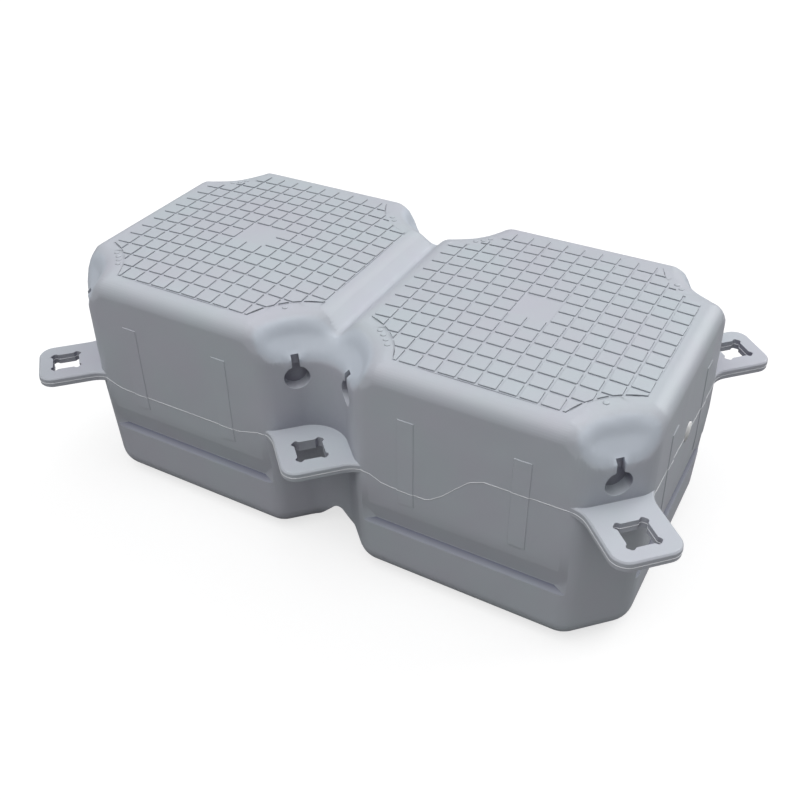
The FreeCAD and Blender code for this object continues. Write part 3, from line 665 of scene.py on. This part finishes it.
def ridge(loops, half_width, rise):
    work = bmesh.new()
    for points in loops:
        rings = []
        count = len(points)
        for number, (place, outward) in enumerate(points):
            ahead, behind = points[(number + 1) % count][0], points[number - 1][0]
            upward = (ahead - behind).cross(outward)
            upward = upward.normalized() if upward.length > 0 else Vector((0, 0, 1))
            rings.append([
                work.verts.new(place - upward * half_width - outward * 0.3 * MM),
                work.verts.new(place + outward * rise),
                work.verts.new(place + upward * half_width - outward * 0.3 * MM)])
        for number in range(count):
            here, after = rings[number], rings[(number + 1) % count]
            for side in range(3):
                other = (side + 1) % 3
                work.faces.new((here[side], after[side], after[other], here[other]))
    bmesh.ops.recalc_face_normals(work, faces=work.faces)
    mesh = bpy.data.meshes.new("mould_line")
    work.to_mesh(mesh)
    work.free()
    mesh.materials.append(flash_plastic)
    return mesh


def extent(points):
    xs = [place.x for place, _ in points]
    return max(xs) - min(xs)


all_loops = sorted(mould_line(), key=extent, reverse=True)
finished("mould_line", ridge(all_loops[:1] + [p for p in all_loops[2:] if extent(p) < 0.08], 0.8 * MM, 0.6 * MM), "shell")

# Floor: seen as plain white with a faint shadow, and darker for the light it throws back
floor_mesh = bpy.data.meshes.new("floor")
floor_mesh.from_pydata([(-8, -8, 0), (8, -8, 0), (8, 8, 0), (-8, 8, 0)], [], [(0, 1, 2, 3)])
floor = bpy.data.objects.new("floor", floor_mesh)
bpy.context.scene.collection.objects.link(floor)
floor_paint, tree = new_material("floor_matt_white")
seen = node(tree, "ShaderNodeLightPath")
matt = node(tree, "ShaderNodeBsdfDiffuse", Color=linear("#949494"))
white = node(tree, "ShaderNodeBsdfDiffuse", Color=linear("#a8a8a8"))
lift = node(tree, "ShaderNodeEmission", Color=linear("#ffffff"), Strength=0.7)
bright = node(tree, "ShaderNodeAddShader", i0=white.outputs["BSDF"], i1=lift.outputs["Emission"])
shown = node(
    tree, "ShaderNodeMixShader", i0=seen.outputs["Is Camera Ray"], i1=matt.outputs["BSDF"], i2=bright.outputs["Shader"])
node(tree, "ShaderNodeOutputMaterial", Surface=shown.outputs["Shader"])
floor_mesh.materials.append(floor_paint)

# Light: a wide soft ceiling that dims towards the horizon, and a weak broad lamp on the right
world = bpy.data.worlds.new("studio")
bpy.context.scene.world = world
world.use_nodes = True
world.node_tree.nodes.clear()
tree = world.node_tree
seen = node(tree, "ShaderNodeLightPath")
way = node(tree, "ShaderNodeTexCoord").outputs["Generated"]
upness = node(tree, "ShaderNodeSeparateXYZ", Vector=way).outputs["Z"]
ceiling = maths(tree, "MULTIPLY_ADD", maths(tree, "POWER", maths(tree, "MAXIMUM", upness, 0.0), 2.0), 0.79, 0.04)
room = node(tree, "ShaderNodeBackground", Color=linear("#ffffff"), Strength=ceiling)
backdrop = node(tree, "ShaderNodeBackground", Color=linear("#ffffff"), Strength=1.0)
shown = node(
    tree, "ShaderNodeMixShader", i0=seen.outputs["Is Camera Ray"], i1=room.outputs["Background"],
    i2=backdrop.outputs["Background"])
node(tree, "ShaderNodeOutputWorld", Surface=shown.outputs["Shader"])


def sun(name, strength, spread, azimuth, elevation):
    lamp = bpy.data.lights.new(name, "SUN")
    lamp.energy = strength
    lamp.angle = math.radians(spread)
    item = bpy.data.objects.new(name, lamp)
    a, e = math.radians(azimuth), math.radians(elevation)
    towards = Vector((math.cos(a) * math.cos(e), math.sin(a) * math.cos(e), math.sin(e)))
    item.rotation_mode = "QUATERNION"
    item.rotation_quaternion = towards.to_track_quat("Z", "Y")
    bpy.context.scene.collection.objects.link(item)
    return item


sun("key_lamp", 1.24, 60, -118, 68)
sun("side_lamp", 1.3, 44, 62, 30)

# Camera, set where the photograph was taken from
AZIMUTH, ELEVATION, ROLL = math.radians(29.87), math.radians(37.18), math.radians(1.16)
back = Vector((math.sin(AZIMUTH) * math.cos(ELEVATION), -math.cos(AZIMUTH) * math.cos(ELEVATION), math.sin(ELEVATION)))
right = (-back).cross(Vector((0, 0, 1))).normalized()
down = (-back).cross(right)
across = right * math.cos(ROLL) + down * math.sin(ROLL)
upward = right * math.sin(ROLL) - down * math.cos(ROLL)
camera = bpy.data.cameras.new("camera")
camera.sensor_width = 36
camera.lens = 956.48 / 800 * 36
camera.clip_start, camera.clip_end = 0.05, 50
viewer = bpy.data.objects.new("camera", camera)
turn = Matrix((across, upward, back)).transposed()
viewer.matrix_world = Matrix.Translation(Vector((0.6693, -1.1398, 1.1456))) @ turn.to_4x4()
bpy.context.scene.collection.objects.link(viewer)
bpy.context.scene.camera = viewer
bpy.context.scene.view_settings.view_transform = "Standard"
